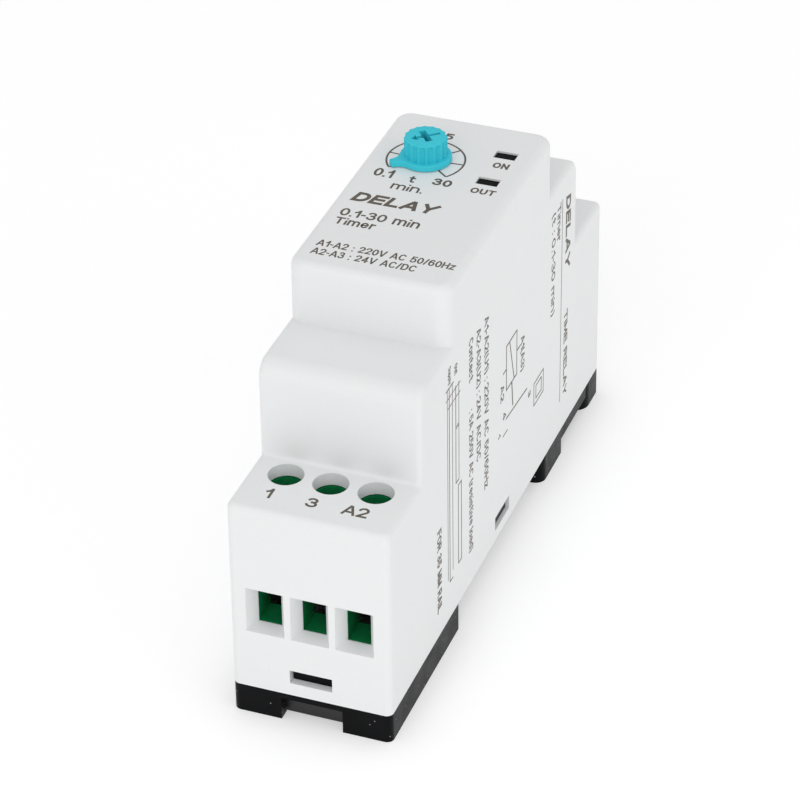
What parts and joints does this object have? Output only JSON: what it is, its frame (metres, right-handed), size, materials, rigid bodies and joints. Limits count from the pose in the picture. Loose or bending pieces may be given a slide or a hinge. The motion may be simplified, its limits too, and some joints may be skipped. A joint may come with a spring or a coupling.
{
  "type": "DIN rail timer",
  "caption": "Narrow stepped rail-mounted timer module with screw terminals at both ends, a turquoise time-setting knob, indicator windows and a sprung latch for a 35 mm rail.",
  "frame": {"origin": "middle of the footprint, on the surface under the feet", "axes": "+Z towards the front face with the knob, +Y along the length from the end with terminals 1 to 3, +X across the width"},
  "size_m": [0.0226, 0.089, 0.0603],
  "materials": {
    "cover_plastic": "satin, very fine spark-eroded grain",
    "base_plastic": "satin black",
    "latch_plastic": "satin black",
    "knob_plastic": "satin turquoise",
    "terminal_plastic": "satin green",
    "lens_plastic": "polished, smoked",
    "screw_steel": "zinc plated",
    "cage_steel": "zinc plated, stamped",
    "contact_tin": "tinned brass",
    "spring_steel": "drawn wire",
    "board_laminate": "solder resist over glass laminate",
    "header_plastic": "moulded",
    "pot_plastic": "moulded",
    "pot_track_film": "carbon film",
    "rotor_plastic": "moulded, black",
    "wiper_brass": "sprung strip",
    "led_plastic": "clear encapsulant",
    "relay_plastic": "moulded",
    "relay_iron": "nickel-plated soft iron",
    "winding_copper": "enamelled copper wire",
    "bobbin_plastic": "moulded, natural",
    "leaf_brass": "sprung bronze strip",
    "can_sleeve": "shrink sleeve on aluminium",
    "film_plastic": "epoxy filled box",
    "varistor_lacquer": "dipped lacquer",
    "chip_plastic": "moulded",
    "resistor_lacquer": "lacquered ceramic"
  },
  "bodies": {
    "body": {"housing": "cover_plastic", "base": "base_plastic", "latch_spring": "spring_steel", "lens_on": "lens_plastic", "lens_out": "lens_plastic", "terminal_block_near": "terminal_plastic", "terminal_block_far": "terminal_plastic", "main_board": "board_laminate", "front_board": "board_laminate", "board_header": "header_plastic", "pot_cover": "pot_plastic", "pot_base": "pot_plastic", "pot_track": "pot_track_film", "led_on": "led_plastic", "led_out": "led_plastic", "relay_cover": "relay_plastic", "relay_base": "relay_plastic", "relay_core": "relay_iron", "relay_bobbin": "bobbin_plastic", "relay_winding": "winding_copper", "relay_yoke": "relay_iron", "relay_contact_closed": "leaf_brass", "relay_contact_open": "leaf_brass", "filter_capacitor": "can_sleeve", "timing_capacitor": "can_sleeve", "dropper_capacitor": "film_plastic", "varistor": "varistor_lacquer", "fuse_resistor": "resistor_lacquer", "bridge_rectifier": "chip_plastic", "timer_chip": "chip_plastic", "driver_transistor": "chip_plastic", "resistors": "resistor_lacquer", "diodes": "chip_plastic", "contact_1": "contact_tin", "contact_2": "contact_tin", "contact_3": "contact_tin", "contact_4": "contact_tin", "contact_5": "contact_tin", "contact_6": "contact_tin"},
    "knob": {"time_knob": "knob_plastic", "pot_rotor": "rotor_plastic", "pot_wiper": "wiper_brass"},
    "latch": {"rail_latch": "latch_plastic"},
    "armature": {"relay_armature": "relay_iron", "relay_contact_leaf": "leaf_brass"},
    "screw_1": {"terminal_screw_1": "screw_steel"},
    "cage_1": {"clamp_cage_1": "cage_steel"},
    "screw_2": {"terminal_screw_2": "screw_steel"},
    "cage_2": {"clamp_cage_2": "cage_steel"},
    "screw_3": {"terminal_screw_3": "screw_steel"},
    "cage_3": {"clamp_cage_3": "cage_steel"},
    "screw_4": {"terminal_screw_4": "screw_steel"},
    "cage_4": {"clamp_cage_4": "cage_steel"},
    "screw_5": {"terminal_screw_5": "screw_steel"},
    "cage_5": {"clamp_cage_5": "cage_steel"},
    "screw_6": {"terminal_screw_6": "screw_steel"},
    "cage_6": {"clamp_cage_6": "cage_steel"}
  },
  "joints": [
    {"name": "knob_turn", "type": "hinge", "parent": "body", "child": "knob", "pos_m": [-0.00305, 0.0091, 0.0566], "axis": [0, 0, -1], "range_deg": [0, 260]},
    {"name": "latch_slide", "type": "slide", "parent": "body", "child": "latch", "axis": [0, -1, 0], "range_m": [0, 0.003], "stiffness_N_per_m": 400, "springref_m": -0.004, "deforming": ["latch_spring"]},
    {"name": "armature_tilt", "type": "hinge", "parent": "body", "child": "armature", "pos_m": [0.0056, 0.0052, 0.01665], "axis": [0, 0, 1], "range_deg": [0, 6], "stiffness_Nm_per_rad": 0.01, "springref_deg": -17.19},
    {"name": "screw_1_turn", "type": "hinge", "parent": "body", "child": "screw_1", "pos_m": [-0.00625, -0.0356, 0.0255], "axis": [0, 0, -1], "range_deg": [0, 1980]},
    {"name": "cage_1_lift", "type": "slide", "parent": "body", "child": "cage_1", "axis": [0, 0, 1], "range_m": [0, 0.00275]},
    {"name": "screw_2_turn", "type": "hinge", "parent": "body", "child": "screw_2", "pos_m": [0, -0.0356, 0.0255], "axis": [0, 0, -1], "range_deg": [0, 1980]},
    {"name": "cage_2_lift", "type": "slide", "parent": "body", "child": "cage_2", "axis": [0, 0, 1], "range_m": [0, 0.00275]},
    {"name": "screw_3_turn", "type": "hinge", "parent": "body", "child": "screw_3", "pos_m": [0.00625, -0.0356, 0.0255], "axis": [0, 0, -1], "range_deg": [0, 1980]},
    {"name": "cage_3_lift", "type": "slide", "parent": "body", "child": "cage_3", "axis": [0, 0, 1], "range_m": [0, 0.00275]},
    {"name": "screw_4_turn", "type": "hinge", "parent": "body", "child": "screw_4", "pos_m": [-0.00625, 0.0356, 0.0255], "axis": [0, 0, -1], "range_deg": [0, 1980]},
    {"name": "cage_4_lift", "type": "slide", "parent": "body", "child": "cage_4", "axis": [0, 0, 1], "range_m": [0, 0.00275]},
    {"name": "screw_5_turn", "type": "hinge", "parent": "body", "child": "screw_5", "pos_m": [0, 0.0356, 0.0255], "axis": [0, 0, -1], "range_deg": [0, 1980]},
    {"name": "cage_5_lift", "type": "slide", "parent": "body", "child": "cage_5", "axis": [0, 0, 1], "range_m": [0, 0.00275]},
    {"name": "screw_6_turn", "type": "hinge", "parent": "body", "child": "screw_6", "pos_m": [0.00625, 0.0356, 0.0255], "axis": [0, 0, -1], "range_deg": [0, 1980]},
    {"name": "cage_6_lift", "type": "slide", "parent": "body", "child": "cage_6", "axis": [0, 0, 1], "range_m": [0, 0.00275]}
  ],
  "couplings": [
    {"joint": "screw_1_turn", "follows": "cage_1_lift", "rad_per_m": 12566},
    {"joint": "screw_2_turn", "follows": "cage_2_lift", "rad_per_m": 12566},
    {"joint": "screw_3_turn", "follows": "cage_3_lift", "rad_per_m": 12566},
    {"joint": "screw_4_turn", "follows": "cage_4_lift", "rad_per_m": 12566},
    {"joint": "screw_5_turn", "follows": "cage_5_lift", "rad_per_m": 12566},
    {"joint": "screw_6_turn", "follows": "cage_6_lift", "rad_per_m": 12566}
  ]
}
